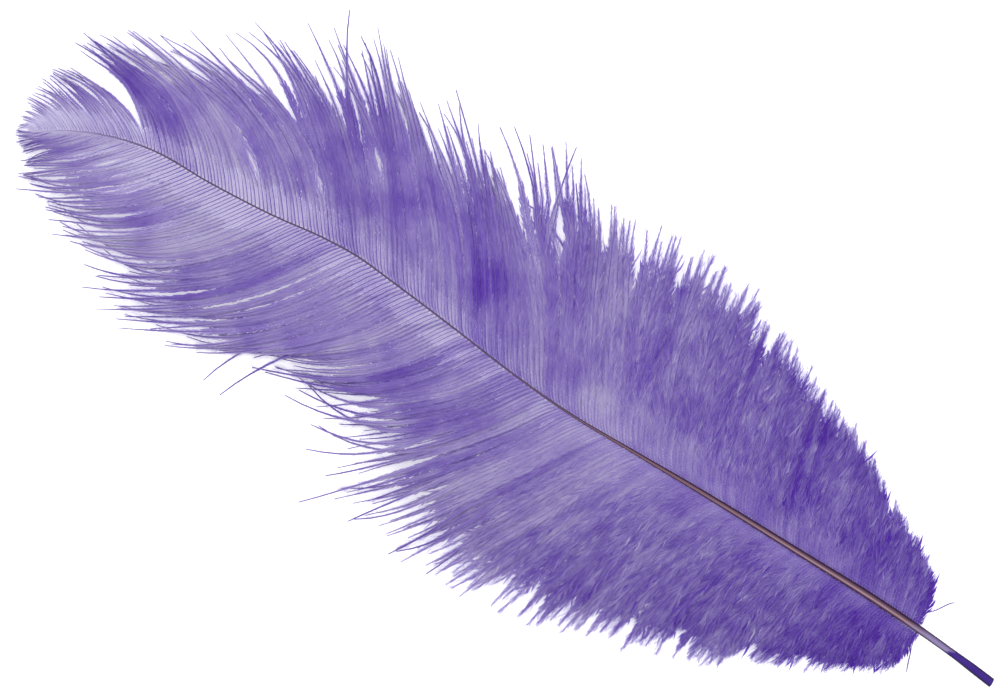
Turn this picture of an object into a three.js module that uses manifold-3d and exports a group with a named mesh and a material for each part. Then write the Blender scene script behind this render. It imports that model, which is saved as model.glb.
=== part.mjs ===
// An ostrich plume lying on a flat surface: a tapering, gently curved shaft with a soft vane on
// each side. The barbs of a vane cling together in overlapping locks that leave the shaft, sweep
// towards the tip and droop until their ends touch the surface.
import * as THREE from 'three';
import { mergeVertices } from 'three/addons/utils/BufferGeometryUtils.js';
import Module from 'manifold-3d';

const wasm = await Module();
wasm.setup();

// Millimetres. X runs from the tip (-X) to the cut end of the quill (+X), Z = 0 is the surface,
// and +Y is the feather's right-hand side as seen from the quill.

// Stations along the shaft, tip to quill: [x, y, height of the centre line, width]
const SHAFT_STATIONS = [
  [-166, -12.8, 1.5, 0.4],
  [-156, -6.7, 2.5, 0.5],
  [-142, -0.8, 3.2, 0.5],
  [-130, 1.8, 3.8, 0.5],
  [-109, 2.0, 4.7, 0.5],
  [-89, 2.9, 5.4, 0.5],
  [-69, 4.9, 6.2, 0.5],
  [-59, 5.0, 6.6, 0.55],
  [-48, 3.8, 7.0, 0.55],
  [-25, 1.0, 7.6, 0.55],
  [-3, -2.0, 7.9, 0.6],
  [19, -4.0, 8.0, 0.8],
  [40, -4.3, 8.0, 1.1],
  [61, -4.5, 7.7, 1.55],
  [82, -5.0, 7.2, 1.85],
  [103, -5.7, 6.5, 2.05],
  [124, -6.4, 5.3, 2.35],
  [145, -7.9, 3.6, 2.4],
  [156, -9.0, 2.4, 2.4],
  [162, -9.7, 1.9, 2.75],
  [169.5, -10.7, 1.5, 2.9],
];
const SHAFT_SIDES = 8;
const SHAFT_STEPS = 48;
const SHAFT_FLATNESS = 0.92; // height of the shaft's section over its width

// Locks of each vane, tip to quill: [x of the root on the shaft, tip x, tip y, fullness], where
// fullness is how much of its own strip of the vane a lock fills before it draws in to its end
const RIGHT_LOCKS = [
  [-161, -169, -10, 0.65],
  [-153, -170, -2, 0.65],
  [-144, -167, 6, 0.65],
  [-136, -165, 12, 0.55],
  [-128, -163, 17, 0.65],
  [-117, -165, 21, 1],
  [-105, -161, 26, 1],
  [-93, -157, 29, 0.95],
  [-83, -142, 31, 0.85],
  [-75, -136, 37, 0.85],
  [-67, -132, 43, 0.85],
  [-59, -125, 51, 0.85],
  [-51, -113, 54, 0.85],
  [-44, -102, 64, 0.8],
  [-37, -90, 61, 0.85],
  [-29, -87, 65, 0.8],
  [-21, -80, 61, 0.85],
  [-12, -68, 57, 0.95],
  [-3, -57, 58, 0.95],
  [6, -44, 61, 0.95],
  [14, -32, 63, 0.9],
  [22, -19, 67, 0.85],
  [31, -7, 59, 0.95],
  [41, 6, 58, 1.05],
  [52, 22, 61, 1.1],
  [64, 38, 58, 1.1],
  [76, 52, 54, 1.1],
  [88, 65, 49, 1.1],
  [99, 78, 43, 1.1],
  [110, 90, 38, 1.1],
  [120, 101, 34, 1.1],
  [128, 111, 28, 1.1],
  [134, 121, 20, 1.1],
  [139, 132, 15, 1.1],
  [142, 140, 8, 1],
];
const LEFT_LOCKS = [
  [-161, -168, -14, 0.85],
  [-151, -164, -18, 0.85],
  [-140, -161, -20, 0.8],
  [-129, -161, -23, 0.8],
  [-117, -157, -27, 0.85],
  [-106, -149, -30, 0.85],
  [-96, -142, -33, 0.85],
  [-86, -134, -34, 0.85],
  [-77, -129, -38, 0.85],
  [-68, -124, -42, 0.85],
  [-59, -116, -44, 0.9],
  [-50, -110, -46, 0.9],
  [-42, -100, -44, 0.85],
  [-34, -88, -40, 0.8],
  [-26, -77, -38, 0.8],
  [-18, -71, -47, 0.65],
  [-10, -60, -41, 0.8],
  [-3, -53, -44, 0.85],
  [4, -44, -49, 0.85],
  [11, -41, -56, 0.9],
  [18, -34, -66, 0.9],
  [26, -21, -64, 0.9],
  [34, -8, -67, 0.95],
  [42, 4, -68, 0.9],
  [51, 17, -67, 1],
  [60, 33, -67, 1],
  [70, 48, -61, 1.05],
  [81, 62, -57, 1.1],
  [92, 78, -52, 1.1],
  [102, 91, -50, 1.1],
  [112, 102, -42, 1.1],
  [121, 113, -38, 1.1],
  [129, 125, -33, 1.1],
  [135, 133, -28, 1.1],
  [140, 141, -22, 1.1],
  [142.5, 145, -13, 1],
];

// How far the barbs lean towards the tip where they leave the shaft: [x, degrees]
const RIGHT_LEAN = [[-170, 30], [60, 30], [110, 8], [143, -5]];
const LEFT_LEAN = [[-170, 38], [-20, 38], [30, 20], [90, 10], [130, 0], [143, -10]];

const ROOT_GAP = 0.3; // between the shaft and the roots of the vane
const LEAVE_SHARE = 0.33; // share of a lock's reach over which it keeps its first direction
const LIFT_SHARE = 0.03; // how far a lock rises before it droops, as a share of its reach
const LOCK_SIDES = 6;
const LOCK_STEPS = 6;
const LOCK_FLANK = Math.cos(Math.PI / LOCK_SIDES); // half width of a lock's ring of radius 1
const ROOT_FULLNESS = 1.15; // neighbouring locks run into each other at the roots
const TIP_FULLNESS = 0.3;
const ROOT_HALF_HEIGHT = 0.45;
const MIDDLE_HALF_HEIGHT = 1.5;
const TIP_HALF_HEIGHT = 0.35;
const FULL_REACH = 45; // a lock at least this long has its full height

// Stages of a lock from root to end, as shares of its length: [start, end]
const PARTING = [0.2, 0.7]; // its neighbours let go of it
const DRAWING_IN = [0.75, 1.05]; // its width draws in to the end
const SWELLING = [0, 0.4]; // it gets thicker
const THINNING = [0.5, 1]; // and thinner again
const STRAYING = [0.3, 0.9]; // it leaves the middle of its strip for its own line

const KERATIN = new THREE.MeshStandardMaterial({ color: 0x6b4a5c, roughness: 0.45, metalness: 0 });
const DOWN = new THREE.MeshStandardMaterial({ color: 0x7d6bae, roughness: 0.85, metalness: 0 });

const { lerp, smoothstep, degToRad } = THREE.MathUtils;

// The place and width of the shaft at a given x
const shaftCurve = new THREE.CubicInterpolant(
  SHAFT_STATIONS.map((station) => station[0]),
  SHAFT_STATIONS.flatMap((station) => station.slice(1)),
  3,
  new Float32Array(3),
);

function shaftAt(x) {
  const [y, z, width] = shaftCurve.evaluate(x);
  return { centre: new THREE.Vector3(x, y, z), width };
}

function leanAt(leans, x) {
  const next = Math.max(1, leans.findIndex((entry) => entry[0] >= x));
  const [x0, lean0] = leans[next - 1];
  const [x1, lean1] = leans[next];
  return degToRad(lerp(lean0, lean1, (x - x0) / (x1 - x0)));
}

// A closed rod: a cylinder whose rings are carried along by sectionAt, which gives the centre and
// the two half axes of the section at t, from 0 at one end to 1 at the other
function sweep(sides, steps, sectionAt) {
  const geometry = new THREE.CylinderGeometry(1, 1, 1, sides, steps);
  const positions = geometry.attributes.position;
  const point = new THREE.Vector3();
  for (let i = 0; i < positions.count; i += 1) {
    const t = 0.5 - positions.getY(i);
    const { centre, across, up } = sectionAt(t);
    point.copy(centre);
    point.addScaledVector(across, positions.getX(i));
    point.addScaledVector(up, positions.getZ(i));
    positions.setXYZ(i, point.x, point.y, point.z);
  }
  geometry.deleteAttribute('normal');
  geometry.deleteAttribute('uv');
  return mergeVertices(geometry);
}

function toSolid(geometry) {
  const vertProperties = new Float32Array(geometry.attributes.position.array);
  const triVerts = new Uint32Array(geometry.index.array);
  return new wasm.Manifold(new wasm.Mesh({ numProp: 3, vertProperties, triVerts }));
}

function toGeometry(solid) {
  const { vertProperties, triVerts } = solid.getMesh();
  const geometry = new THREE.BufferGeometry();
  geometry.setAttribute('position', new THREE.BufferAttribute(vertProperties, 3));
  geometry.setIndex(new THREE.BufferAttribute(triVerts, 1));
  geometry.computeVertexNormals();
  return geometry;
}

// The shaft: quill and rachis in one, thick at the cut end and hair-thin at the tip
function shaftGeometry() {
  const tipX = SHAFT_STATIONS[0][0];
  const quillX = SHAFT_STATIONS.at(-1)[0];
  return sweep(SHAFT_SIDES, SHAFT_STEPS, (t) => {
    const { centre, width } = shaftAt(lerp(tipX, quillX, t));
    return {
      centre,
      across: new THREE.Vector3(0, width / 2, 0),
      up: new THREE.Vector3(0, 0, (width / 2) * SHAFT_FLATNESS),
    };
  });
}

// The line that the middle of a lock follows; side is 1 for the right vane and -1 for the left
function lockCurve([rootX, tipX, tipY], leans, side) {
  const { centre, width } = shaftAt(rootX);
  const root = centre.clone();
  root.y += side * (width / 2 + ROOT_GAP);
  const tip = new THREE.Vector3(tipX, tipY, TIP_HALF_HEIGHT);
  const reach = root.distanceTo(tip);
  const lean = leanAt(leans, rootX);
  const leaving = new THREE.Vector3(-Math.sin(lean), side * Math.cos(lean), 0);
  const knee = root.clone().addScaledVector(leaving, reach * LEAVE_SHARE);
  knee.z += reach * LIFT_SHARE;
  return new THREE.QuadraticBezierCurve3(root, knee, tip);
}

// One lock fills the strip between its neighbours, then draws in to its own line towards the end
function lockSolid(curves, locks, index, side) {
  const own = curves[index];
  const reach = own.v0.distanceTo(own.v2);
  const heightScale = Math.min(1, reach / FULL_REACH);
  const fullness = locks[index][3];
  const tipward = curves[index - 1] ?? own;
  const quillward = curves[index + 1] ?? own;
  const geometry = sweep(LOCK_SIDES, LOCK_STEPS, (t) => {
    const line = own.getPoint(t);
    const tipEdge = tipward.getPoint(t).lerp(line, 0.5);
    const quillEdge = quillward.getPoint(t).lerp(line, 0.5);
    const across = tipEdge.clone().sub(quillEdge).multiplyScalar(side / 2);
    const stripCentre = tipEdge.clone().lerp(quillEdge, 0.5);
    const spread = lerp(ROOT_FULLNESS, fullness, smoothstep(t, ...PARTING));
    across.multiplyScalar(lerp(spread, TIP_FULLNESS, smoothstep(t, ...DRAWING_IN)) / LOCK_FLANK);
    const swell = lerp(ROOT_HALF_HEIGHT, MIDDLE_HALF_HEIGHT, smoothstep(t, ...SWELLING));
    const halfHeight = heightScale * lerp(swell, TIP_HALF_HEIGHT, smoothstep(t, ...THINNING));
    return {
      centre: stripCentre.lerp(line, smoothstep(t, ...STRAYING)),
      across,
      up: new THREE.Vector3(0, 0, halfHeight),
    };
  });
  return toSolid(geometry);
}

function vaneGeometry(locks, leans, side) {
  const curves = locks.map((lock) => lockCurve(lock, leans, side));
  const solids = locks.map((_, index) => lockSolid(curves, locks, index, side));
  return toGeometry(solids.reduce((vane, lock) => vane.add(lock)));
}

function named(name, geometry, material) {
  const mesh = new THREE.Mesh(geometry, material);
  mesh.name = name;
  return mesh;
}

const feather = new THREE.Group();
feather.add(named('shaft', shaftGeometry(), KERATIN));
feather.add(named('right_vane', vaneGeometry(RIGHT_LOCKS, RIGHT_LEAN, 1), DOWN));
feather.add(named('left_vane', vaneGeometry(LEFT_LOCKS, LEFT_LEAN, -1), DOWN));

export default feather;
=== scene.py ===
import math
from types import SimpleNamespace

import bpy
import numpy as np
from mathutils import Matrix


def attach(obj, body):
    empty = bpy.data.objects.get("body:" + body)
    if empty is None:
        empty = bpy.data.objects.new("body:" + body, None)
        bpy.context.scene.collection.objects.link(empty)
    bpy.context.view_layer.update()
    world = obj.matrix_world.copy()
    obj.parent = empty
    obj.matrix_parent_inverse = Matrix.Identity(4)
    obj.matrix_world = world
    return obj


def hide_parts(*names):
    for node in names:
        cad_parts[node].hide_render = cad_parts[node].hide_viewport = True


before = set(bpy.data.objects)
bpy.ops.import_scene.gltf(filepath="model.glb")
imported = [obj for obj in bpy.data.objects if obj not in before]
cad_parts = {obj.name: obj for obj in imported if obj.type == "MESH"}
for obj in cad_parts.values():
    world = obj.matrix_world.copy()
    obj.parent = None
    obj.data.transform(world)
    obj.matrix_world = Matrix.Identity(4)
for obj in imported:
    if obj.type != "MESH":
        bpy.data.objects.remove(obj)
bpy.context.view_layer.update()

# The shaft: quill and rachis, one tapering tube of horn that grew in one piece. The quill end is
# cut square, hollow and stained by the dye bath; from there the shaft thins to a hair at the tip.
MM = 0.001
SHAFT_STATIONS = np.array([  # x, y, height of the centre line, width, all in mm, tip to quill
    (-166, -12.8, 1.5, 0.4),
    (-156, -6.7, 2.5, 0.5),
    (-142, -0.8, 3.2, 0.5),
    (-130, 1.8, 3.8, 0.5),
    (-109, 2.0, 4.7, 0.5),
    (-89, 2.9, 5.4, 0.5),
    (-69, 4.9, 6.2, 0.5),
    (-59, 5.0, 6.6, 0.55),
    (-48, 3.8, 7.0, 0.55),
    (-25, 1.0, 7.6, 0.55),
    (-3, -2.0, 7.9, 0.6),
    (19, -4.0, 8.0, 0.8),
    (40, -4.3, 8.0, 1.1),
    (61, -4.5, 7.7, 1.55),
    (82, -5.0, 7.2, 1.85),
    (103, -5.7, 6.5, 2.05),
    (124, -6.4, 5.3, 2.35),
    (145, -7.9, 3.6, 2.4),
    (156, -9.0, 2.4, 2.4),
    (162, -9.7, 1.9, 2.75),
    (169.5, -10.7, 1.5, 2.9),
])
SHAFT_SIDES = 16
SHAFT_FLATNESS = 0.92  # height over width
SHAFT_STEP = 4.0  # mm from ring to ring
QUILL_WALL = 0.3  # share of the radius
QUILL_BORE = (-9.0, 0.9, 0.6)  # mm from the cut end to the pith inside it
SHARP_EDGE = math.radians(50)
SAME_PLACE = 1e-6  # m


def metres(*lengths):
    return tuple(length * MM for length in lengths)


def through_stations(stations, x):
    """The smooth curve through stations whose first column is x."""
    xs = stations[:, 0]
    values = stations[:, 1:]
    slopes = np.gradient(values, xs, axis=0)
    x = np.asarray(x, float)
    at = np.clip(np.searchsorted(xs, x) - 1, 0, len(xs) - 2)
    span = (xs[at + 1] - xs[at])[..., None]
    t = (x - xs[at])[..., None] / span
    start = (1 + 2 * t) * (1 - t) ** 2 * values[at] + t * (1 - t) ** 2 * span * slopes[at]
    end = t * t * (3 - 2 * t) * values[at + 1] + t * t * (t - 1) * span * slopes[at + 1]
    return start + end


quill_x = SHAFT_STATIONS[-1, 0]
tip_x = SHAFT_STATIONS[0, 0]
shaft_x = np.linspace(quill_x, tip_x, int((quill_x - tip_x) / SHAFT_STEP))
shaft_rings = np.column_stack([shaft_x, through_stations(SHAFT_STATIONS, shaft_x)])
cut_end = metres(*shaft_rings[0, :3])
bpy.ops.object.select_all(action="DESELECT")
bpy.ops.mesh.primitive_circle_add(
    vertices=SHAFT_SIDES,
    radius=shaft_rings[0, 3] / 2 * MM,
    location=cut_end,
    rotation=(0, math.pi / 2, 0),
)
shaft = bpy.context.object
shaft.name = "shaft_horn"
bpy.ops.object.transform_apply(location=True, rotation=True, scale=True)
bpy.ops.object.mode_set(mode="EDIT")
bpy.ops.mesh.select_all(action="SELECT")
bpy.ops.transform.resize(value=(1, 1, SHAFT_FLATNESS), center_override=cut_end)
for ring, before in zip(shaft_rings[1:], shaft_rings[:-1]):
    step = metres(*(ring[:3] - before[:3]))
    bpy.ops.mesh.extrude_region_move(TRANSFORM_OT_translate={"value": step})
    growth = ring[3] / before[3]
    bpy.ops.transform.resize(value=(1, growth, growth), center_override=metres(*ring[:3]))
bpy.ops.mesh.merge(type="CENTER")
bpy.ops.object.mode_set(mode="OBJECT")
for vertex in shaft.data.vertices:
    vertex.select = bool(abs(vertex.co.x - cut_end[0]) < SAME_PLACE)
bpy.ops.object.mode_set(mode="EDIT")
bpy.ops.mesh.select_mode(type="VERT")
inward = 1 - QUILL_WALL
bpy.ops.mesh.extrude_region_move(TRANSFORM_OT_translate={"value": (0, 0, 0)})
bpy.ops.transform.resize(value=(1, inward, inward), center_override=cut_end)
bpy.ops.mesh.extrude_region_move(TRANSFORM_OT_translate={"value": metres(*QUILL_BORE)})
bpy.ops.mesh.edge_face_add()
bpy.ops.mesh.select_all(action="SELECT")
bpy.ops.mesh.normals_make_consistent(inside=False)
bpy.ops.object.mode_set(mode="OBJECT")
bpy.ops.object.shade_smooth_by_angle(angle=SHARP_EDGE)

# The crown runs over the shaft from -1 at its left edge to 1 at its right
shaft_points = np.array([vertex.co for vertex in shaft.data.vertices])
centre_y, _, across = through_stations(SHAFT_STATIONS, shaft_points[:, 0] / MM).T
crown = (shaft_points[:, 1] / MM - centre_y) / (across / 2)
shaft.data.attributes.new("crown", "FLOAT", "POINT").data.foreach_set("value", crown)


class Wire:
    """A socket in a material's tree. Arithmetic on it adds Math nodes, node() adds any other."""

    def __init__(self, tree, socket=None):
        self.tree = tree
        self.socket = socket

    def node(self, kind, settings=None, inputs=None, output=0):
        made = self.tree.nodes.new("ShaderNode" + kind)
        for name, value in (settings or {}).items():
            setattr(made, name, value)
        for name, value in (inputs or {}).items():
            if isinstance(value, Wire):
                self.tree.links.new(value.socket, made.inputs[name])
            else:
                made.inputs[name].default_value = value
        return Wire(self.tree, made.outputs[output]) if made.outputs else None

    def math(self, operation, first, second=0.0):
        return self.node("Math", {"operation": operation}, {0: first, 1: second})

    def __add__(self, other):
        return self.math("ADD", self, other)

    __radd__ = __add__

    def __sub__(self, other):
        return self.math("SUBTRACT", self, other)

    def __rsub__(self, other):
        return self.math("SUBTRACT", other, self)

    def __mul__(self, other):
        return self.math("MULTIPLY", self, other)

    __rmul__ = __mul__

    def between(self, low, high):
        """0 below low, 1 above high, and smooth in between."""
        settings = {"interpolation_type": "SMOOTHSTEP"}
        return self.node("MapRange", settings, {"Value": self, "From Min": low, "From Max": high})

    def mixed(self, first, second):
        """The first colour where this is 0, the second where it is 1."""
        inputs = {0: self, 6: first, 7: second}
        return self.node("Mix", {"data_type": "RGBA"}, inputs, output=2)


def new_material(name):
    made = bpy.data.materials.new(name)
    made.use_nodes = True
    made.node_tree.nodes.clear()
    return made, Wire(made.node_tree)


def srgb(red, green, blue):
    """A colour given as 0 to 255 on a screen, as the shader's linear values."""
    shares = [value / 255 for value in (red, green, blue)]
    linear = [s / 12.92 if s <= 0.04045 else ((s + 0.055) / 1.055) ** 2.4 for s in shares]
    return (*linear, 1)


GRAIN = (60, 2500, 2500)  # streaks to a metre along, across and through the shaft
BLOTCHES = 260.0  # to a metre
MEAN_NOISE = 0.5
EDGE_SHADE = (0.45, 0.85)  # from the middle, where the painted shade on the shaft's rounded edges begins and is full
EDGE_SHADE_RAGGED = 0.2
EDGE_SHADE_STRENGTH = 0.9
HIGHLIGHT_PLACE = 0.24  # middle of the painted highlight, left of the middle
HIGHLIGHT_HALF = (0.03, 0.22)  # where the painted highlight begins to fade and ends
HIGHLIGHT_RAGGED = 0.12
BROWN_SHADE_TURN = (-0.1, 0.7)  # where painted shade turns the colour darker towards the right side
# where painted shade darkens the bare quill towards its right side
BARE_SHADE_TURN = (-0.2, 0.9)
BORDER_RAGGED = 9  # mm, as all places along the shaft below
BORDER_SLANT = 1.5
TIP_FADE = (-168, -122)
BROWN_FROM = (-10, 50)
# over which the painted highlight comes in along the rachis
HIGHLIGHT_FROM = (50, 110)
BARE_FROM = (136, 147)
STAIN_FROM = (153.5, 155.5)
# from here on the painted edge shade takes the stained quill's deeper violet
EDGE_SHADE_ON_STAIN_FROM = (154, 156)

horn, wires = new_material("dyed_horn")
place = wires.node("TexCoord", output=3)
along_mm = wires.node("SeparateXYZ", inputs={0: place}) * (1 / MM)
crown_at = wires.node("Attribute", {"attribute_name": "crown"}, output=2)
edge = wires.math("ABSOLUTE", crown_at)
grain_place = wires.node("Mapping", inputs={0: place, 3: GRAIN})
grain = wires.node("TexNoise", inputs={"Vector": grain_place, "Scale": 1.0, "Detail": 4.0})
blotch = wires.node("TexNoise", inputs={"Vector": place, "Scale": BLOTCHES, "Detail": 3.0})
# Painted shade: the shaft's rounded edges are darkened in the colour, where the light falls off them
painted_edge_shade = (edge + (grain - MEAN_NOISE) * EDGE_SHADE_RAGGED).between(*EDGE_SHADE)
# Painted highlight: a light pinkish stripe along the rachis, a little left of its middle
off_highlight = crown_at + HIGHLIGHT_PLACE + (grain - MEAN_NOISE) * HIGHLIGHT_RAGGED
off_highlight = wires.math("ABSOLUTE", off_highlight)
painted_highlight = (1 - off_highlight.between(*HIGHLIGHT_HALF)) * along_mm.between(*HIGHLIGHT_FROM)
border = along_mm + (blotch - MEAN_NOISE) * BORDER_RAGGED - crown_at * BORDER_SLANT
# Painted shade: the brown turns darker towards the shaft's right side, as does the bare quill below
shaded_brown = crown_at.between(*BROWN_SHADE_TURN).mixed(srgb(104, 78, 90), srgb(48, 28, 44))
# The rachis' brown with the painted highlight in light pink
rachis = painted_highlight.mixed(shaded_brown, srgb(148, 120, 132))
thin = grain.mixed(srgb(68, 54, 80), srgb(86, 70, 98))
shaded_bare = crown_at.between(*BARE_SHADE_TURN).mixed(srgb(124, 112, 150), srgb(84, 72, 112))
stained = grain.mixed(srgb(34, 14, 86), srgb(66, 42, 132))
# Painted shade on the rounded edges of the stained quill end
edge_shade_on_stain = painted_edge_shade * border.between(*EDGE_SHADE_ON_STAIN_FROM) * EDGE_SHADE_STRENGTH
shaft_colour = border.between(*BROWN_FROM).mixed(thin, rachis)
shaft_colour = border.between(*BARE_FROM).mixed(shaft_colour, shaded_bare)
# The painted edge shade, in dark violet-brown
shaft_colour = (painted_edge_shade * EDGE_SHADE_STRENGTH).mixed(shaft_colour, srgb(40, 20, 50))
shaft_colour = along_mm.between(*TIP_FADE).mixed(srgb(138, 126, 170), shaft_colour)
shaft_colour = border.between(*STAIN_FROM).mixed(shaft_colour, stained)
# The painted edge shade on the stained quill end, in deep violet
shaft_colour = edge_shade_on_stain.mixed(shaft_colour, srgb(10, 2, 30))
bump = wires.node("Bump", inputs={"Strength": 0.25, "Distance": 0.2 * MM, "Height": grain})
horn_shader = wires.node(
    "BsdfPrincipled",
    inputs={
        "Base Color": shaft_colour,
        "Roughness": 0.4 + grain * 0.25,
        "Normal": bump,
        "IOR": 1.54,
        "Specular IOR Level": 0.08,
    },
)
wires.node("OutputMaterial", inputs={"Surface": horn_shader})
shaft.data.materials.append(horn)
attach(shaft, "root")
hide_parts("shaft")

# The barbs: some hundreds of soft branches along each side of the shaft, rooted in it a little over
# a millimetre apart. They sweep towards the tip, droop, and cling together in small locks. A lock is
# given by its root and its end, and the barbs between two locks end between their ends.
RIGHT_LOCKS = np.array([  # x of the root on the shaft, then x and y of the end, in mm
    (-164, -168, -13),
    (-161, -169, -9),
    (-153, -170, -1),
    (-144, -168, 6),
    (-134, -166, 10),
    (-132, -165.5, 11),
    (-131, -163.5, 17),
    (-130, -163, 17.5),
    (-123, -164, 19),
    (-115, -163, 22),
    (-107, -161, 26),
    (-99, -157, 29),
    (-93, -151, 28),
    (-87, -147, 28),
    (-81, -142, 31),
    (-76, -137, 37),
    (-71, -132, 43),
    (-66, -125, 51),
    (-61, -117, 53),
    (-55, -108, 58),
    (-50, -102, 64),
    (-43, -92, 61),
    (-37, -89, 66),
    (-29, -80, 61),
    (-20, -68, 57),
    (-11, -57, 60),
    (-6, -50, 57),
    (-1, -43, 53),
    (3.5, -38, 51),
    (8, -33, 49),
    (8.6, -43, 61),
    (11, -37, 62),
    (14, -28, 64),
    (20, -19, 67),
    (26, -7, 59),
    (36, 6, 57),
    (42, 19, 60),
    (53, 35, 58),
    (65, 50, 55),
    (77, 63, 50),
    (89, 76, 44),
    (100, 88, 39),
    (111, 100, 34),
    (121, 110, 28),
    (129, 120, 21),
    (137, 131, 15),
    (142, 140, 8),
])
LEFT_LOCKS = np.array([
    (-164, -168, -13),
    (-161, -168, -14),
    (-151, -164, -18),
    (-140, -161, -20),
    (-129, -161, -23),
    (-117, -157, -27),
    (-106, -149, -30),
    (-96, -142, -33),
    (-86, -134, -34),
    (-77, -129, -38),
    (-68, -124, -42),
    (-59, -116, -44),
    (-50, -110, -46),
    (-42, -100, -44),
    (-34, -88, -40),
    (-26, -74, -35),
    (-18, -66, -35),
    (-10, -57, -36),
    (-3, -49, -39),
    (4, -42, -44),
    (11, -36, -51),
    (18, -29, -60),
    (26, -19, -63),
    (34, -6, -66),
    (42, 4, -68),
    (51, 18, -67),
    (60, 36, -67),
    (70, 51, -61),
    (81, 65, -57),
    (92, 80, -52),
    (102, 92, -50),
    (112, 103, -42),
    (121, 113, -38),
    (129, 125, -33),
    (135, 133, -28),
    (140, 142, -23),
    (141.5, 142.6, -15.5),
    (142.5, 141.5, -11.5),
])

# How the barbs grow along each side: x of the root, pitch in mm, lean towards the tip in degrees,
# how strongly they cling in locks, how many mm of them stay neatly combed, the shortest barb's
# share of the full reach, length of the barbules in mm, how loose and downy they are from 0 to 1,
# and tone from dark 0 to light 1
RIGHT_GROWTH = np.array([
    (-165, 0.75, 58, 0.1, 15, 0.92, 1.0, 0.0, 0.48),
    (-133, 0.9, 46, 0.1, 15, 0.92, 1.1, 0.0, 0.5),
    (-130, 1.1, 34, 0.2, 10, 0.92, 2.4, 0.1, 0.34),
    (-112, 1.2, 32, 0.25, 13, 0.92, 2.8, 0.15, 0.43),
    (-100, 1.3, 30, 0.3, 14, 0.92, 3.0, 0.2, 0.58),
    (-80, 1.3, 28, 0.45, 14, 0.88, 3.2, 0.25, 0.56),
    (-40, 1.25, 26, 0.4, 14, 0.88, 3.6, 0.35, 0.34),
    (-5, 1.2, 24, 0.3, 14, 0.88, 4.0, 0.5, 0.38),
    (25, 1.1, 26, 0.2, 13, 0.88, 4.5, 0.65, 0.45),
    (60, 0.95, 28, 0.05, 11, 0.93, 5.2, 0.9, 0.44),
    (110, 0.9, 20, 0.0, 7, 0.94, 5.4, 1.0, 0.3),
    (143, 0.8, 0, 0.0, 3, 0.93, 4.2, 1.0, 0.2),
])
LEFT_GROWTH = np.array([
    (-165, 0.8, 48, 0.1, 10, 0.94, 0.8, 0.0, 0.46),
    (-145, 0.9, 42, 0.15, 10, 0.94, 1.6, 0.0, 0.47),
    (-125, 1.3, 36, 0.15, 14, 0.94, 2.4, 0.1, 0.54),
    (-95, 1.4, 32, 0.15, 18, 0.94, 2.8, 0.2, 0.56),
    (-60, 1.35, 28, 0.12, 16, 0.94, 3.4, 0.3, 0.5),
    (-42, 1.35, 27, 0.12, 16, 0.9, 3.2, 0.3, 0.5),
    (-20, 1.3, 26, 0.25, 16, 0.76, 2.6, 0.3, 0.5),
    (10, 1.25, 28, 0.2, 15, 0.8, 3.0, 0.4, 0.48),
    (30, 1.05, 30, 0.1, 13, 0.86, 3.8, 0.6, 0.48),
    (50, 1.0, 32, 0.05, 9, 0.93, 5.0, 0.8, 0.52),
    (90, 0.95, 28, 0.0, 6, 0.94, 5.6, 1.0, 0.36),
    (130, 0.9, 12, 0.0, 4, 0.93, 5.0, 1.0, 0.22),
    (143, 0.8, -10, 0.0, 3, 0.93, 4.0, 1.0, 0.2),
])

# Places where the barbs have parted: x of the root, widest opening in mm, the shares of a barb's
# length where it opens and closes (past 1 it stays open at the edge), and how far along the shaft,
# in mm, the neighbours make way
RIGHT_PARTINGS = (
    (-131.5, 3.0, 0.0, 1.3, 4),
    (-92, 2.4, 0.12, 0.4, 3),
    (-70, 2.0, 0.18, 0.31, 3),
    (-49, 2.2, 0.38, 0.56, 3),
    (-84, 1.5, 0.8, 1.5, 4),
    (-68, 2.2, 0.72, 1.5, 4),
    (-58, 1.5, 0.8, 1.5, 4),
    (-46, 3.2, 0.7, 1.5, 4),
    (-40, 1.5, 0.8, 1.5, 4),
    (14.5, 4.8, 0.54, 0.77, 4),
)
LEFT_PARTINGS = (
    (-137, 1.2, 0.15, 0.7, 3),
    (-130, 1.6, 0.1, 0.55, 3),
    (-124, 1.2, 0.15, 0.5, 3),
    (-118, 1.4, 0.2, 0.65, 3),
    (-108, 1.4, 0.3, 0.75, 3),
    (-100, 1.2, 0.35, 0.7, 3),
    (-22, 1.5, 0.7, 1.5, 3),
    (-6, 1.5, 0.7, 1.5, 3),
    (8, 1.5, 0.7, 1.5, 3),
    (55, 1.5, 0.85, 1.5, 4),
)

# Barbs that have strayed from their locks: x of the root, x and y halfway, x and y of the end
RIGHT_STRAYS = np.array([
    (-60, -79, 35, -104, 66),
    (-45, -63, 34, -88, 66),
    (-10, -32, 27, -64, 55),
    (-4, -24, 28, -59, 60),
    (9, -9, 32, -17, 68),
    (10, -9, 30, -33, 63),
    (11, -8, 31, -32, 66),
    (22, 4, 30, -25, 51),
    (24, 7, 27, -14, 60),
    (138, 143.8, -0.6, 148.6, 5.4),
])
LEFT_STRAYS = np.array([
    (-42, -64, -22, -82, -46),
    (-27, -53, -21, -81, -39),
    (-26, -48, -19, -72, -36),
    (-24, -53, -21, -72, -51),
    (-16, -42, -22, -71, -41),
    (-11, -37, -25, -69, -42),
    (-8, -34, -28, -67, -37),
    (-3, -26, -28, -58, -39),
    (-1, -23, -29, -55, -39),
    (2, -22, -31, -58, -44),
    (4, -19, -32, -54, -40),
    (6, -15, -33, -42, -55),
    (7, -15, -33, -45, -48),
    (9, -11, -34, -41, -48),
    (10, -11, -34, -36, -55),
    (12, -9, -38, -36, -68),
    (14, -4, -37, -25, -62),
    (16, -2, -38, -22, -65),
    (19, 2, -39, -17, -67),
    (24, 9, -39, -8, -69),
    (27, 14, -39, 0, -69),
    (29, 18, -39, 6, -68),
    (142, 143.5, -14, 146, -21),
])

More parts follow.
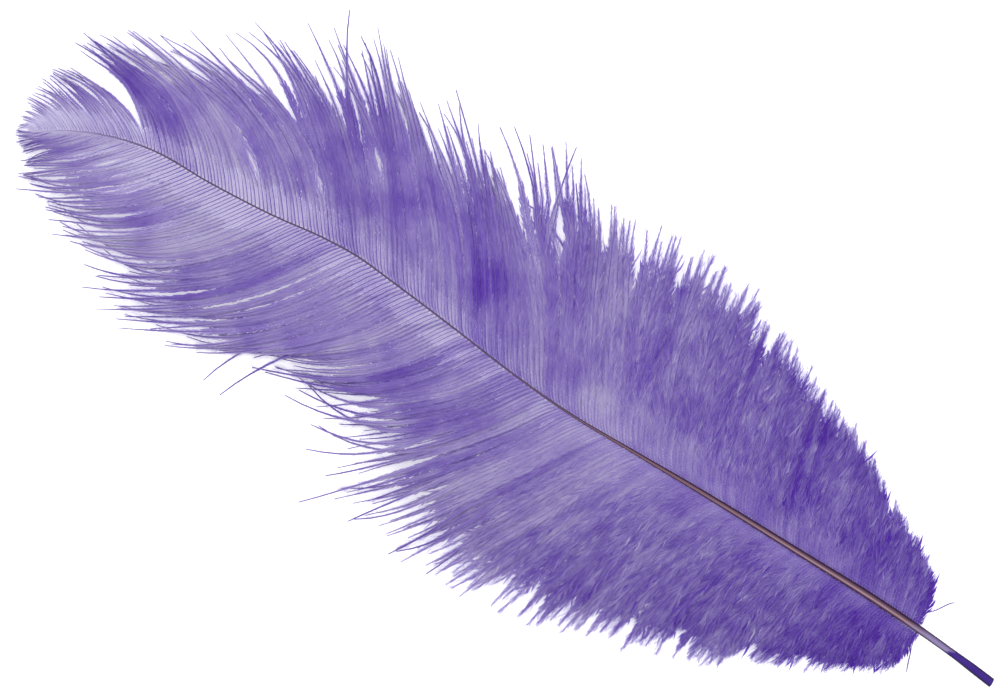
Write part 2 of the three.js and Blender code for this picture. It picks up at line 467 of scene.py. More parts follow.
BARB_POINTS = 17
POINT_POWER = 1.2  # above 1, so that the points lie closer together next to the shaft
KNEE = {  # share of a barb's reach at which its curve is led, by x of the root in mm
    1: ((-165, 143), (0.45, 0.45)),
    -1: ((-150, -120, -40, 5), (0.5, 0.62, 0.6, 0.47)),
}
COMB = {  # how clearly the stems show like a comb next to the shaft, by x of the root in mm
    1: ((-130, -100, -20, 35, 60), (1.2, 1.0, 0.7, 0.5, 0.45)),
    -1: ((-130, -100, -40, -10, 35, 60), (1.3, 1.0, 0.75, 0.5, 0.4, 0.3)),
}
PITCH_RANGE = (0.88, 1.12)
LEAN_SPREAD = 1.0  # degrees
TIP_SPREAD = 0.02  # share of the reach
ROOT_ASIDE = 0.4  # shares of the shaft's width from its middle
ROOT_BELOW = 0.1
TIP_HEIGHT = 0.4  # mm
LIFT_SHARE = 0.03  # share of the reach by which a barb arches
LONG_BARB = 50.0  # mm of reach from which on a barb has all its play
STRAY_DOWN = 2.4  # mm, the barbules of a long stray


def smooth_step(low, high, value):
    t = np.clip((value - low) / (high - low), 0, 1)
    return t * t * (3 - 2 * t)


def blend(none, full, share):
    return none + (full - none) * share


def across_in_plan(line):
    """Unit directions across each barb, level, on its left as it grows."""
    along = np.gradient(line, axis=1)
    sideways = np.stack([-along[..., 1], along[..., 0], np.zeros(line.shape[:2])], axis=-1)
    return sideways / np.linalg.norm(sideways, axis=2, keepdims=True)


def root_barbs(side, locks, growth, strays, rng):
    """One vane's barbs before they bend: where each starts, leads and ends, and how it grows."""
    roots = [locks[0, 0]]
    while roots[-1] < locks[-1, 0]:
        pitch = np.interp(roots[-1], growth[:, 0], growth[:, 1])
        roots.append(roots[-1] + pitch * rng.uniform(*PITCH_RANGE))
    regular = len(roots) - 1
    roots = np.concatenate([roots[:-1], strays[:, 0]])
    count = len(roots)
    _, lean, cling, calm, shortest, down, loose, tone = (
        np.interp(roots, growth[:, 0], column) for column in growth[:, 1:].T
    )
    lean = np.radians(lean + rng.normal(0, LEAN_SPREAD, count))
    base_y, base_z, width = through_stations(SHAFT_STATIONS, roots).T
    base_y = base_y + side * width * ROOT_ASIDE
    start = np.column_stack([roots, base_y, base_z - width * ROOT_BELOW])
    tips = np.column_stack([
        np.interp(roots, locks[:, 0], locks[:, 1]),
        np.interp(roots, locks[:, 0], locks[:, 2]),
        np.full(count, TIP_HEIGHT),
    ])
    reach = np.linalg.norm(tips - start, axis=1)
    play = np.minimum(1, reach / LONG_BARB)
    tips[:, :2] += rng.normal(0, TIP_SPREAD, (count, 2)) * reach[:, None]
    tips[regular:, :2] = strays[:, 3:]
    cling[regular:] = 0
    loose[regular:] = 0
    down[regular:] = STRAY_DOWN * play[regular:] ** 2
    leaving = np.column_stack([-np.sin(lean), side * np.cos(lean), np.zeros(count)])
    knee = start + leaving * (reach * np.interp(roots, *KNEE[side]))[:, None]
    knee[regular:, :2] = 2 * strays[:, 1:3] - 0.5 * (start + tips)[regular:, :2]
    knee[:, 2] += reach * LIFT_SHARE
    return SimpleNamespace(
        side=side,
        count=count,
        regular=regular,
        roots=roots,
        start=start,
        knee=knee,
        tips=tips,
        reach=reach,
        play=play[:, None],
        cling=cling,
        calm=calm,
        shortest=shortest,
        down=down,
        loose=loose,
        tone=tone,
        comb=np.interp(roots, *COMB[side]),
    )


NEW_STRAND = 0.28  # chance that the next barb begins a strand
STRAND_LENGTH = 0.6  # share of a sleek barb's length that its strand decides
LONGEST = 1.04  # share of the full reach
LENGTH_POWER = 0.6  # below 1, so that more barbs are long than short
WORN = 0.25  # share of its length that a sleek barb can have lost
DOWNY_LOSS = 0.03
SHORT_CHANCE = 0.12  # of a downy barb
SHORT_SHARES = (0.5, 0.85)
HOOK = 1.2  # mm by which a barb hugs the shaft before it bends outwards
HOOK_LENGTH = 2.5
HOOK_FROM = (-110, -50)  # mm, x of the root
HOOK_REACH = 30.0


def draw_barbs(barbs, rng):
    """The barbs' first curves. Small groups of neighbours make strands, alike in length."""
    count = barbs.count
    barbs.strand = np.cumsum(rng.random(count) < NEW_STRAND)
    barbs.strands = barbs.strand[-1] + 1
    same = STRAND_LENGTH * (1 - barbs.loose)
    share = same * rng.random(barbs.strands)[barbs.strand] + (1 - same) * rng.random(count)
    share = blend(barbs.shortest, LONGEST, share**LENGTH_POWER)
    worn = WORN * (1 - barbs.loose) * rng.random(count) ** 3
    share = share * (1 - worn) * (1 - DOWNY_LOSS * barbs.loose)
    barbs.short = rng.random(count) < barbs.loose * SHORT_CHANCE
    share = np.where(barbs.short, rng.uniform(*SHORT_SHARES, count), share)
    share[barbs.regular:] = 1
    barbs.t = np.linspace(0, 1, BARB_POINTS)[None, :] ** POINT_POWER * share[:, None]
    t = barbs.t[..., None]
    start, knee, tips = (ends[:, None] for ends in (barbs.start, barbs.knee, barbs.tips))
    barbs.line = (1 - t) ** 2 * start + 2 * t * (1 - t) * knee + t**2 * tips
    hook = HOOK * (1 - np.exp(-barbs.t * barbs.reach[:, None] / HOOK_LENGTH))
    hooked = smooth_step(*HOOK_FROM, barbs.roots) * np.minimum(1, barbs.reach / HOOK_REACH)
    barbs.line[..., 0] -= hook * hooked[:, None]


FREE_FROM = (-115, -90)  # mm, x of the root from which on the ends are free
LOOSE_FREE = (1, 0.15)  # how free sleek barbs are, and downy ones, which hold each other
LOOSE_WAVE = (1, 0.05)
LOOSE_WILD = (1, 0.1)
CLING_PLAY = (0.4, 2.0)  # a strand's play where its barbs don't cling, and where they do
FREE_PLAY = (0.3, 1.0)
STRAND_PLAY = (1.4, 1.2, 0.6)  # mm in x, y and z at the end
STRAND_POWER = 2.5
STRAND_WAVE = 1.2  # mm
WAVE_TURNS = 0.75
WAVE_GROWS = (0.1, 0.7)  # shares of the length
WILD_CHANCE = 0.15
WILD_PLAY = 3.0  # mm at the end of a wild barb
TAME_PLAY = 1.2
WILD_FROM = (-125, -95)  # mm, x of the root
WILD_SHARES = (0.4, 1.0)
WILD_AXES = (1, 1, 0.2)
SHORT_RISE = 0.9  # mm by which short barbs stand above the others
WHOLE_TURN = 2 * math.pi


def sway_barbs(barbs, rng):
    """Each strand leans its own way and waves, and single barbs run wild."""
    count = barbs.count
    t = barbs.t[..., None]
    barbs.free = smooth_step(*FREE_FROM, barbs.roots) * blend(*LOOSE_FREE, barbs.loose)
    stray = rng.normal(0, 1, (barbs.strands, 3))[barbs.strand] * STRAND_PLAY
    stray *= (blend(*FREE_PLAY, barbs.free) * blend(*CLING_PLAY, barbs.cling))[:, None]
    barbs.line += stray[:, None] * t**STRAND_POWER * barbs.play[..., None]
    wild = rng.normal(0, 1, (count, 3))
    wild *= np.where(rng.random(count) < WILD_CHANCE, WILD_PLAY, TAME_PLAY)[:, None]
    by_root = blend(*WILD_SHARES, smooth_step(*WILD_FROM, barbs.roots))
    wild *= (blend(*LOOSE_WILD, barbs.loose) * by_root)[:, None]
    barbs.line += wild[:, None] * WILD_AXES * t**3 * barbs.play[..., None]
    barbs.line[..., 2] += np.where(barbs.short, SHORT_RISE, 0.0)[:, None] * barbs.t
    sideways = across_in_plan(barbs.line)
    swing = rng.normal(0, STRAND_WAVE, barbs.strands)[barbs.strand]
    swing = swing * blend(*LOOSE_WAVE, barbs.loose) * blend(*CLING_PLAY, barbs.cling)
    phase = rng.uniform(0, WHOLE_TURN, barbs.strands)[barbs.strand][:, None]
    wave = np.sin(WAVE_TURNS * WHOLE_TURN * barbs.t + phase) * smooth_step(*WAVE_GROWS, barbs.t)
    barbs.line += (swing[:, None] * barbs.play * wave)[..., None] * sideways


CLINGS_OVER = (0.5, 0.85)  # shares of the length
PARTS_OVER = (0.85, 1.05)
PARTS_AGAIN = 0.6


def cling_barbs(barbs):
    """Neighbours cling to the middle of their strand towards the end, and part again at the tip."""
    pull = smooth_step(*CLINGS_OVER, barbs.t) * (1 - PARTS_AGAIN * smooth_step(*PARTS_OVER, barbs.t))
    sideways = across_in_plan(barbs.line)
    middle = np.stack([barbs.line[barbs.strand == own].mean(0) for own in barbs.strand])
    aside = ((middle - barbs.line) * sideways).sum(2)
    barbs.line += (pull * barbs.cling[:, None] * aside)[..., None] * sideways


NO_GAP = 2.0  # shares of the length past any barb's end
GAP_ROOM = 2.0  # mm along the shaft on each side of a parting
OPEN_END = 1.3  # a parting that closes before this share is a hole, with no barbules across it


def part_barbs(barbs, partings):
    """The barbs make way on both sides of a parting."""
    barbs.sideways = across_in_plan(barbs.line) * -barbs.side
    barbs.gap = np.full((barbs.count, 2), NO_GAP)
    for root, opening, opens, closes, room in partings:
        middle = min(0.5 * (opens + closes), 1.0)
        shape = smooth_step(opens, middle, barbs.t) * (1 - smooth_step(middle, closes, barbs.t))
        off = barbs.roots - root
        if closes < OPEN_END:
            barbs.gap[np.abs(off) < GAP_ROOM] = opens, closes
        give = np.sign(off) * np.exp(-np.abs(off) / room) * opening / 2
        barbs.line += (shape * give[:, None])[..., None] * barbs.sideways


END_BEND = 2.8  # mm
END_POWER = 5
OWN_WAVE = (0.4, 0.6)  # mm in a sleek barb and in a downy one
OWN_TURNS = (0.6, 1.4)
OWN_POWER = 1.5
HEIGHT_SPREAD = 0.4  # mm
STRAY_DEPTH = 1.0  # mm by which a stray runs under the others before it leaves them
STRAY_SINKS = (0, 0.1)  # shares of the length
STRAY_RISES = (0.4, 0.6)
LOWEST_BARB = 0.25  # mm
VANE_EDGE = 68.0  # mm from the feather's middle line, which no barb passes
STRAND_TONES = (-0.1, 0.1)
LOOSE_TONES = (1, 0.4)
TONE_SPREAD = 0.04


def settle_barbs(barbs, rng):
    """Each barb has its own bent end, slow wave, height in the vane and tone."""
    count = barbs.count
    t = barbs.t
    bend = rng.normal(0, END_BEND, count) * barbs.free
    barbs.line += (bend[:, None] * t**END_POWER * barbs.play)[..., None] * barbs.sideways
    phase = rng.uniform(0, WHOLE_TURN, count)[:, None]
    turns = rng.uniform(*OWN_TURNS, count)[:, None]
    wave = np.sin(turns * WHOLE_TURN * t + phase) * t**OWN_POWER * barbs.play
    barbs.line += (blend(*OWN_WAVE, barbs.loose)[:, None] * wave)[..., None] * barbs.sideways
    barbs.line[..., 2] += rng.normal(0, HEIGHT_SPREAD, count)[:, None] * t * barbs.play
    strays_t = t[barbs.regular:]
    sunk = smooth_step(*STRAY_SINKS, strays_t) * (1 - smooth_step(*STRAY_RISES, strays_t))
    barbs.line[barbs.regular:, :, 2] -= STRAY_DEPTH * sunk
    barbs.line[..., 2] = np.maximum(barbs.line[..., 2], LOWEST_BARB)
    fit = np.minimum(1, VANE_EDGE / np.maximum(1, (barbs.side * barbs.line[..., 1]).max(1)))
    foot = barbs.start[:, None, :2]
    barbs.line[..., :2] = foot + (barbs.line[..., :2] - foot) * fit[:, None, None]
    strand_tone = rng.uniform(*STRAND_TONES, barbs.strands)[barbs.strand]
    strand_tone = strand_tone * blend(*LOOSE_TONES, barbs.loose)
    barbs.tone = barbs.tone + strand_tone + rng.normal(0, TONE_SPREAD, count)


def directions(line):
    """Unit tangents, sideways and upward directions along each barb."""
    along = np.gradient(line, axis=1)
    along /= np.linalg.norm(along, axis=2, keepdims=True)
    sideways = np.cross((0.0, 0.0, 1.0), along)
    sideways /= np.linalg.norm(sideways, axis=2, keepdims=True)
    return along, sideways, np.cross(along, sideways)


def mesh_piece(name, points, faces, tone, bake_map):
    """A piece from arrays: points in mm, faces of one size, a tone by point, and its own map."""
    mesh = bpy.data.meshes.new(name)
    mesh.vertices.add(len(points))
    mesh.vertices.foreach_set("co", (points * MM).astype(np.float32).ravel())
    mesh.loops.add(faces.size)
    mesh.loops.foreach_set("vertex_index", faces.astype(np.int32).ravel())
    mesh.polygons.add(len(faces))
    starts = np.arange(0, faces.size, faces.shape[1], dtype=np.int32)
    mesh.polygons.foreach_set("loop_start", starts)
    mesh.polygons.foreach_set("use_smooth", np.ones(len(faces), bool))
    mesh.update(calc_edges=True)
    attribute = mesh.attributes.new("tone", "FLOAT", "POINT")
    attribute.data.foreach_set("value", tone.astype(np.float32))
    layer = mesh.uv_layers.new(name="OFBake")
    layer.uv.foreach_set("vector", bake_map[faces.ravel()].astype(np.float32).ravel())
    piece = bpy.data.objects.new(name, mesh)
    bpy.context.scene.collection.objects.link(piece)
    return piece


STEM_SIDES = 3
STEM_ROOT = 0.25  # mm, radius
STEM_MIDDLE = 0.12
STEM_END = 0.29  # with the barbules that lie along it
ROOT_POWER = 4
ENDS_OVER = (0.5, 0.8)  # shares of the length, as the next two
SOFTENS_OVER = (0.12, 0.3)
DARKENS_OVER = (0.6, 0.9)
DOWNY_END = (1, 0.4)
POINTED = 0.4  # share of the radius that the very end loses
POINTED_POWER = 20
LEAST_STOUT = 0.45
STOUT_REACH = 100.0  # mm
STOUT_STRAY = 0.75
SOFTER = 0.35  # steps of tone
LOOSE_SOFTER = (0.4, 1.0)
END_DARKER = 0.15
PLAIN_LIGHTER = 0.3
MAP_MARGIN = 0.01
MAP_ROW = 0.3


def stems_piece(name, barbs):
    """The barbs' own stems: three-sided tapering rods."""
    line = barbs.line
    count, steps = line.shape[:2]
    _, sideways, up = directions(line)
    taper = np.linspace(0, 1, steps)
    reach = np.linalg.norm(line[:, -1] - line[:, 0], axis=1)
    stout = np.minimum(1, LEAST_STOUT + reach / STOUT_REACH)
    stout[barbs.regular:] = np.maximum(STOUT_STRAY, stout[barbs.regular:])
    end = STEM_END * blend(*DOWNY_END, barbs.loose[:, None])
    ending = smooth_step(*ENDS_OVER, taper)
    radius = blend(STEM_MIDDLE, STEM_ROOT, (1 - taper) ** ROOT_POWER)
    radius = radius + (end - STEM_MIDDLE) * ending
    radius = (radius * (1 - POINTED * taper**POINTED_POWER) * stout[:, None])[..., None]
    rings = []
    for corner in range(STEM_SIDES):
        turn = WHOLE_TURN / 4 + corner * WHOLE_TURN / STEM_SIDES
        rings.append(line + radius * (math.cos(turn) * sideways + math.sin(turn) * up))
    points = np.stack(rings, axis=2)
    number = np.arange(points[..., 0].size).reshape(count, steps, STEM_SIDES)
    ahead = np.roll(number, -1, axis=2)
    quads = np.stack([number[:, :-1], ahead[:, :-1], ahead[:, 1:], number[:, 1:]], axis=-1)
    row = (np.arange(count)[:, None, None] + 0.5 + MAP_ROW * np.array([-1, 0, 1])) / count
    column = MAP_MARGIN + (1 - 2 * MAP_MARGIN) * taper[None, :, None]
    bake_map = np.stack(np.broadcast_arrays(column, row), axis=-1)
    softening = smooth_step(*SOFTENS_OVER, taper)
    softer = SOFTER * softening * (1 - ending) * blend(*LOOSE_SOFTER, barbs.loose)[:, None]
    darker = END_DARKER * smooth_step(*DARKENS_OVER, taper) * (1 - barbs.loose)[:, None]
    lighter = PLAIN_LIGHTER * np.maximum(0, 1 - barbs.comb)[:, None] * (1 - softening)
    tone = np.repeat(barbs.tone[:, None] + softer - darker + lighter, STEM_SIDES)
    return mesh_piece(name, points.reshape(-1, 3), quads.reshape(-1, 4), tone, bake_map.reshape(-1, 2))


SMUDGE = (-0.0194, 0.0188, 0.007)  # m, where the dye has taken more strongly
SMUDGE_EDGE = (0.002, 0.011)
SMUDGE_DARKER = 0.08
CLOUDS = 90.0  # to a metre
CLOUD_TONES = 0.5
DYE_TONES = (0.0, 1.0)  # from the deepest dye to the lightest
PALE_TONES = (0.35, 0.75)  # over which the light colour loses its violet


def barb_material(name, deep, dusky, pale, glow):
    made, wires = new_material(name)
    place = wires.node("TexCoord", output=3)
    tone = wires.node("Attribute", {"attribute_name": "tone"}, output=2)
    cloud = wires.node("TexNoise", inputs={"Vector": place, "Scale": CLOUDS, "Detail": 3.0})
    smudge = wires.node("VectorMath", {"operation": "DISTANCE"}, {0: place, 1: SMUDGE}, output=1)
    shade = tone + (cloud - MEAN_NOISE) * CLOUD_TONES
    shade = shade - SMUDGE_DARKER * (1 - smudge.between(*SMUDGE_EDGE))
    light = shade.between(*PALE_TONES).mixed(dusky, pale)
    colour = shade.between(*DYE_TONES).mixed(deep, light)
    solid = wires.node(
        "BsdfPrincipled",
        inputs={"Base Color": colour, "Roughness": 0.6 + cloud * 0.2, "Specular IOR Level": 0.3},
    )
    through = wires.node("BsdfTranslucent", inputs={"Color": colour})
    both = wires.node("MixShader", inputs={0: glow, 1: solid, 2: through})
    wires.node("OutputMaterial", inputs={"Surface": both})
    return made


STEM_GLOW = 0.15  # share of the light that comes through
stem_violet = barb_material(
    "ramus_violet", srgb(76, 42, 149), srgb(148, 127, 197), srgb(150, 132, 196), STEM_GLOW
)
vanes = {}
for side, word, locks, growth, partings, strays, seed in (
    (1, "right", RIGHT_LOCKS, RIGHT_GROWTH, RIGHT_PARTINGS, RIGHT_STRAYS, 2),
    (-1, "left", LEFT_LOCKS, LEFT_GROWTH, LEFT_PARTINGS, LEFT_STRAYS, 84),
):
    rng = np.random.default_rng(seed)
    barbs = root_barbs(side, locks, growth, strays, rng)
    draw_barbs(barbs, rng)
    sway_barbs(barbs, rng)
    cling_barbs(barbs)
    part_barbs(barbs, partings)
    settle_barbs(barbs, rng)
    vanes[word] = barbs, rng
    stems = stems_piece(word + "_barbs", barbs)
    stems.data.materials.append(stem_violet)
    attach(stems, "root")
    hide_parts(word + "_vane")

# The barbules: the down of the feather, fine threads of horn that grow from both sides of every barb.
# They have no hooks, so next to the shaft they lie neatly, and further out they fall into soft tufts.
BARBULES = 14.7  # to a mm of barb, both sides together
TUFT = 14  # neighbouring barbules that cling together where they are loose
PLACE_SPREAD = (-0.3, 0.3)  # steps from barbule to barbule
LAST_PLACE = 0.999
CALM_SPREAD = (0.75, 1.25)
LOOSENS_OVER = (0.15, 1.25)  # shares of the neatly combed length
LOWER_SHARE = 0.6


def root_barbules(barbs, chosen, rng):
    """Where the barbules of some barbs are rooted, and how loose each of them is there."""
    line = barbs.line[chosen]
    count, steps = line.shape[:2]
    along, sideways, up = directions(line)
    spans = np.linalg.norm(np.diff(line, axis=1), axis=2)
    travelled = np.concatenate([np.zeros((count, 1)), np.cumsum(spans, axis=1)], axis=1)
    number = (travelled[:, -1] * BARBULES).astype(int)
    barb = np.repeat(np.arange(count), number)
    total = len(barb)
    order = np.arange(total) - np.repeat(np.cumsum(number) - number, number)
    tuft = order // TUFT
    place = (order + 0.5 + rng.uniform(*PLACE_SPREAD, total)) / number[barb]
    tuft_place = np.minimum((tuft + 0.5) * TUFT / number[barb], LAST_PLACE)

    def on_barb(values, places):
        distance = places * travelled[barb, -1]
        index = np.clip((travelled[barb] <= distance[:, None]).sum(1) - 1, 0, steps - 2)
        share = ((distance - travelled[barb, index]) / spans[barb, index])[:, None]
        return values[barb, index] * (1 - share) + values[barb, index + 1] * share

    root, forward, out, above = (on_barb(values, place) for values in (line, along, sideways, up))
    distance = place * travelled[barb, -1]
    calm = (barbs.calm[chosen] * rng.uniform(*CALM_SPREAD, count))[barb]
    away = smooth_step(*LOOSENS_OVER, distance / calm)
    barb_loose = barbs.loose[chosen][barb]
    gap = barbs.gap[chosen][barb]
    hand = order % 2
    return SimpleNamespace(
        count=count,
        total=total,
        barb=barb,
        order=order,
        tuft=tuft,
        hand=hand,
        place=place,
        left=travelled[barb, -1] - distance,
        root=root,
        tuft_root=on_barb(line, tuft_place),
        forward=forward,
        outward=np.where(hand == 0, 1.0, -1.0)[:, None] * out,
        above=above,
        away=away,
        barb_loose=barb_loose,
        loose=barb_loose * away,
        lower=np.maximum(away, LOWER_SHARE * barb_loose),
        closed=(place < gap[:, 0]) | (place > gap[:, 1]),
        full=barbs.down[chosen][barb],
        tone=barbs.tone[chosen][barb],
        contrast=(1 - away) * barbs.comb[chosen][barb],
    )


DOWNY = (0.3, 0.9)  # looseness from which barbules turn downy, and are so in full
OWN_SHARE = 0.5  # of a barbule's spread that is its own, and that is its tuft's
TUFT_SHARE = 0.6
UNDER_EVERY = 7
UNDER_FIRST = 3
UNDER_LOWER = 0.3
UNDER_TO = (0.68, 0.84)  # share of the barb to which the lower ones go, sleek and downy
OUTER_FROM = (0.5, 0.6)  # shares of the barb, sleek and downy
OUTER_TO = (0.85, 0.95)
ENDING = (10, 0)  # mm before the barb's end
HAIR_LOOSE = (0.5, 0.8)
HAIR_CHANCE = 0.1
HAIR_FROM = 0.5
HAZE_CHANCE = 0.35


def sort_barbules(fibres, rng):
    """Downy barbules share their tuft's spread. One in seven is a broad one that closes the vane."""
    fibres.downy = smooth_step(*DOWNY, fibres.loose)
    tufts = rng.normal(0, 1, (fibres.count, fibres.tuft.max() + 1, 2, 5))
    shared = tufts[fibres.barb, fibres.tuft, fibres.hand]
    fibres.own = rng.normal(0, 1, (fibres.total, 5))
    fibres.vary = OWN_SHARE * fibres.own + shared * (TUFT_SHARE * fibres.downy)[:, None]
    lower = (fibres.order % UNDER_EVERY == UNDER_FIRST) & (fibres.lower > UNDER_LOWER)
    fibres.under = lower & (fibres.place < blend(*UNDER_TO, fibres.downy)) & fibres.closed
    outer_from = blend(*OUTER_FROM, fibres.downy)
    outer_to = blend(*OUTER_TO, fibres.downy)
    fibres.outer = smooth_step(outer_from, outer_to, fibres.place)
    fibres.sleek = fibres.outer * (1 - fibres.downy)
    fibres.ending = smooth_step(*ENDING, fibres.left)


NEAT_LENGTH = 1.3  # mm, next to the shaft
OUTER_SHORTER = 0.55
SLEEK_SHORTER = 0.8
SLEEK_ENDS = (0.7, 0.97)  # shares of the barb
LENGTH_SPREAD = (0.1, 0.25)  # neat and loose, as the next spreads
LENGTH_LIMITS = (0.4, 1.6)
ROOM = 0.8  # share of what is left of the barb, beyond which a barbule goes only by the next values
END_ROOM = (0.3, 1.8)  # mm
DOWNY_ROOM = 2.2
FRINGE_SHORTER = 0.75
HAIR_LENGTH = (4, 9)  # mm, a few long ones
HAIR_ROOM = 2.5
HAZE_LENGTH = (1.5, 4.0)  # mm, fine ones around the ends of sleek barbs
HAZE_ROOM = 1.5
NEAT_ANGLE = 46  # degrees from the barb
LOOSE_ANGLE = 20
SLEEK_CLOSER = 5
ANGLE_SPREAD = (3, 7)
FRINGE_SPREAD = 8
ANGLE_LOSS = 0.8
UNDER_ANGLE = (20, 28)  # sleek and downy
UNDER_SPREAD = (0.5, 1.2)
HAZE_ANGLE = (10, 32)


def measure_barbules(fibres, rng):
    """How long each barbule is, and the angle at which it leaves its barb."""
    total = fibres.total
    fringe = fibres.ending * fibres.downy
    length = blend(np.minimum(NEAT_LENGTH, fibres.full), fibres.full, fibres.away)
    sleek_end = smooth_step(*SLEEK_ENDS, fibres.place) * fibres.sleek
    outer = fibres.outer * (1 - fibres.sleek)
    length = length * (1 - OUTER_SHORTER * outer - SLEEK_SHORTER * sleek_end)
    spread = fibres.vary[:, 0] * blend(*LENGTH_SPREAD, fibres.loose)
    length = length * np.clip(1 + spread, *LENGTH_LIMITS)
    room = fibres.left * ROOM
    past = rng.uniform(*END_ROOM, total) + DOWNY_ROOM * fibres.downy * rng.random(total)
    length = np.minimum(length, room + past)
    length = length * (1 - FRINGE_SHORTER * fringe * rng.random(total))
    chance = HAIR_CHANCE * smooth_step(*HAIR_LOOSE, fibres.loose)
    fibres.hair = (rng.random(total) < chance) & (fibres.place > HAIR_FROM)
    hair_length = np.minimum(rng.uniform(*HAIR_LENGTH, total), room + HAIR_ROOM)
    length = np.where(fibres.hair, hair_length, length)
    angle = blend(NEAT_ANGLE, LOOSE_ANGLE, fibres.away)
    angle = angle - SLEEK_CLOSER * (fibres.outer + fibres.ending) * (1 - fibres.downy)
    spread = blend(*ANGLE_SPREAD, fibres.loose) + FRINGE_SPREAD * fringe
    angle = np.radians(angle + fibres.vary[:, 1] * spread)
    angle = angle * (1 - ANGLE_LOSS * fibres.away * rng.random(total))
    under_angle = np.radians(blend(*UNDER_ANGLE, fibres.downy)) * rng.uniform(*UNDER_SPREAD, total)
    angle = np.where(fibres.under, under_angle, angle)
    fibres.haze = (rng.random(total) < HAZE_CHANCE * fibres.sleek) & ~fibres.under
    haze_length = np.minimum(rng.uniform(*HAZE_LENGTH, total), room + HAZE_ROOM)
    fibres.length = np.where(fibres.haze, haze_length, length)
    fibres.angle = np.where(fibres.haze, np.radians(rng.uniform(*HAZE_ANGLE, total)), angle)


RISE = 0.04  # radians above the vane
RISE_SPREAD = (0.06, 0.18)
GATHER = 0.35  # share of the way to the middle of the tuft
BOW = 0.06  # share of the length
BOW_SPREAD = (0.01, 0.04)
TILT_SPREAD = (0.08, 0.18)
HALF_WIDTH = (0.06, 0.09)  # mm, on a sleek barb and on a downy one
OUTER_FINER = 0.5
END_FINER = 0.4
UNDER_HALF = 0.34
HAIR_HALF = 0.035
HAZE_HALF = 0.02
UNDER_DROP = 0.5
LOWEST_BARBULE = 0.06
MAP_SLIVER = 0.6 / 512
MAP_ROWS = (0.1, 0.9)
CORNER_ROWS = np.array([0, 0.5, 1, 0.5])
COMB_LIGHTER = 0.26  # steps of tone, as the rest
COMB_FADE = (-0.35, 0.0, 0.35, 0.0)
TONE_OWN = (0.06, 0.14)
SLEEK_LIGHTER = 0.15
HAZE_LIGHTER = 0.2


def down_piece(name, barbs, chosen, rng):
    """The barbules of some barbs: bent slivers, pointed at both ends, two faces each."""
    fibres = root_barbules(barbs, chosen, rng)
    sort_barbules(fibres, rng)
    measure_barbules(fibres, rng)
    root, outward, above = fibres.root, fibres.outward, fibres.above
    loose, vary, angle = fibres.loose, fibres.vary, fibres.angle[:, None]
    rise = (RISE + vary[:, 2] * blend(*RISE_SPREAD, loose))[:, None]
    lifted = outward * np.cos(rise) + above * np.sin(rise)
    reach = fibres.forward * np.cos(angle) + lifted * np.sin(angle)
    gather = (GATHER * np.minimum(1, loose * 2))[:, None]
    end = root + gather * (fibres.tuft_root - root) + reach * fibres.length[:, None]
    bow = (BOW + vary[:, 3] * blend(*BOW_SPREAD, loose)) * fibres.length
    middle = 0.5 * (root + end) + outward * bow[:, None]
    tilt = above + fibres.own[:, 2:] * blend(*TILT_SPREAD, loose)[:, None]
    flat = np.cross(end - root, tilt)
    flat /= np.linalg.norm(flat, axis=1, keepdims=True)
    width = blend(*HALF_WIDTH, fibres.barb_loose)
    width = width * (1 - OUTER_FINER * fibres.outer) * (1 - END_FINER * fibres.ending)
    kinds = [fibres.under, fibres.hair, fibres.haze]
    half = flat * np.select(kinds, [UNDER_HALF, HAIR_HALF, HAZE_HALF], width)[:, None]
    points = np.stack([root, middle - half, end, middle + half], axis=1)
    points[..., 2] -= np.where(fibres.under, UNDER_DROP * fibres.lower, 0.0)[:, None]
    points[..., 2] = np.maximum(points[..., 2], LOWEST_BARBULE)
    corner = np.arange(fibres.total * 4).reshape(-1, 4)
    faces = np.concatenate([corner[:, [0, 1, 3]], corner[:, [1, 2, 3]]])
    u = MAP_MARGIN + (1 - 2 * MAP_MARGIN) * fibres.place
    columns = np.stack([u, u - MAP_SLIVER, u, u + MAP_SLIVER], axis=1)
    rows = (fibres.barb[:, None] + blend(*MAP_ROWS, CORNER_ROWS)) / fibres.count
    bake_map = np.stack([columns, rows], axis=-1).reshape(-1, 2)
    tone = fibres.tone + COMB_LIGHTER * fibres.contrast + vary[:, 4] * blend(*TONE_OWN, loose)
    tone = tone + SLEEK_LIGHTER * fibres.sleek + HAZE_LIGHTER * fibres.haze
    tone = tone[:, None] + fibres.contrast[:, None] * COMB_FADE
    return mesh_piece(name, points.reshape(-1, 3), faces, tone.ravel(), bake_map)


DOWN_GLOW = 0.35
DOWN_PIECES = 4  # to a vane
down_violet = barb_material(
    "down_violet", srgb(78, 22, 163), srgb(181, 167, 213), srgb(188, 181, 208), DOWN_GLOW
)
for word, (barbs, rng) in vanes.items():
    for part, chosen in enumerate(np.array_split(np.arange(barbs.count), DOWN_PIECES), 1):
        down = down_piece(f"{word}_down_{part}", barbs, chosen, rng)
        down.data.materials.append(down_violet)
        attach(down, "root")
        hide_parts(word + "_vane")

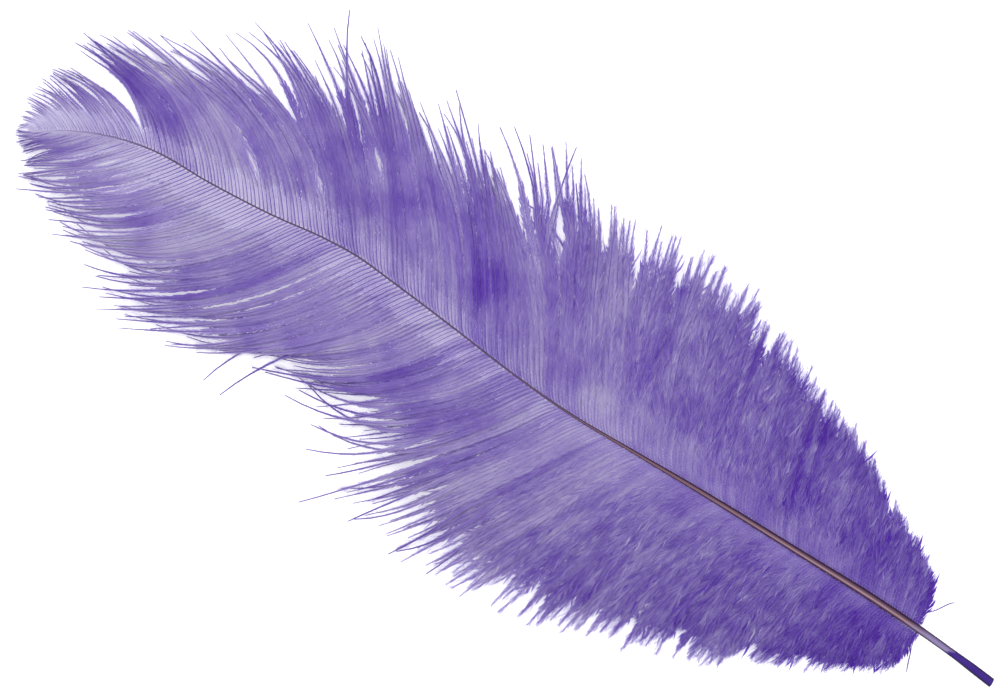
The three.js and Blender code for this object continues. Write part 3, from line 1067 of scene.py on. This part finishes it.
# The floor: a wide sheet of white studio paper under the feather, plain and matt. It glows a little,
# so that it stays white right up to the barbs.
FLOOR_SIZE = 6.0  # m
bpy.ops.object.select_all(action="DESELECT")
bpy.ops.mesh.primitive_plane_add(size=FLOOR_SIZE, location=(0, 0, 0))
floor = bpy.context.object
floor.name = "floor"
paper, wires = new_material("white_paper")
sheen = wires.node(
    "BsdfPrincipled",
    inputs={
        "Base Color": (0.8, 0.8, 0.8, 1),
        "Roughness": 0.9,
        "Emission Color": (1, 1, 1, 1),
        "Emission Strength": 0.45,
    },
)
wires.node("OutputMaterial", inputs={"Surface": sheen})
floor.data.materials.append(paper)

# The light: a white tent all around, and one soft lamp above the right-hand vane, on the side of the
# tip, which gives the barbs a light and a dark side.
TENT_STRENGTH = 1.3
LAMP_PLACE = (-0.35, 0.45, 0.9)  # m
LAMP_SIZE = 0.5
LAMP_POWER = 5  # W
world = bpy.data.worlds.new("studio")
world.use_nodes = True
tent = world.node_tree.nodes["Background"]
tent.inputs["Color"].default_value = (1, 1, 1, 1)
tent.inputs["Strength"].default_value = TENT_STRENGTH
bpy.context.scene.world = world
bpy.ops.object.light_add(type="AREA", location=LAMP_PLACE)
lamp = bpy.context.object
lamp.name = "key_light"
lamp.data.size = LAMP_SIZE
lamp.data.energy = LAMP_POWER
lamp.rotation_euler = (lamp.location * -1).to_track_quat("-Z", "Y").to_euler()
bpy.context.scene.view_settings.view_transform = "Standard"

# The camera looks straight down, turned so that the quill points to the lower right. Its picture is
# as wide as the view at the height of the shaft.
VIEW_WIDTH = 0.300  # m
VIEW_CENTRE = (-0.00934, 0.00313, 0.004)
VIEW_TURN = math.radians(30)
LENS = 90.0  # mm
SENSOR = 36.0
camera_data = bpy.data.cameras.new("camera")
camera_data.lens = LENS
camera_data.sensor_width = SENSOR
camera = bpy.data.objects.new("camera", camera_data)
view_x, view_y, view_z = VIEW_CENTRE
camera.location = (view_x, view_y, VIEW_WIDTH * LENS / SENSOR + view_z)
camera.rotation_euler = (0, 0, VIEW_TURN)
bpy.context.scene.collection.objects.link(camera)
bpy.context.scene.camera = camera
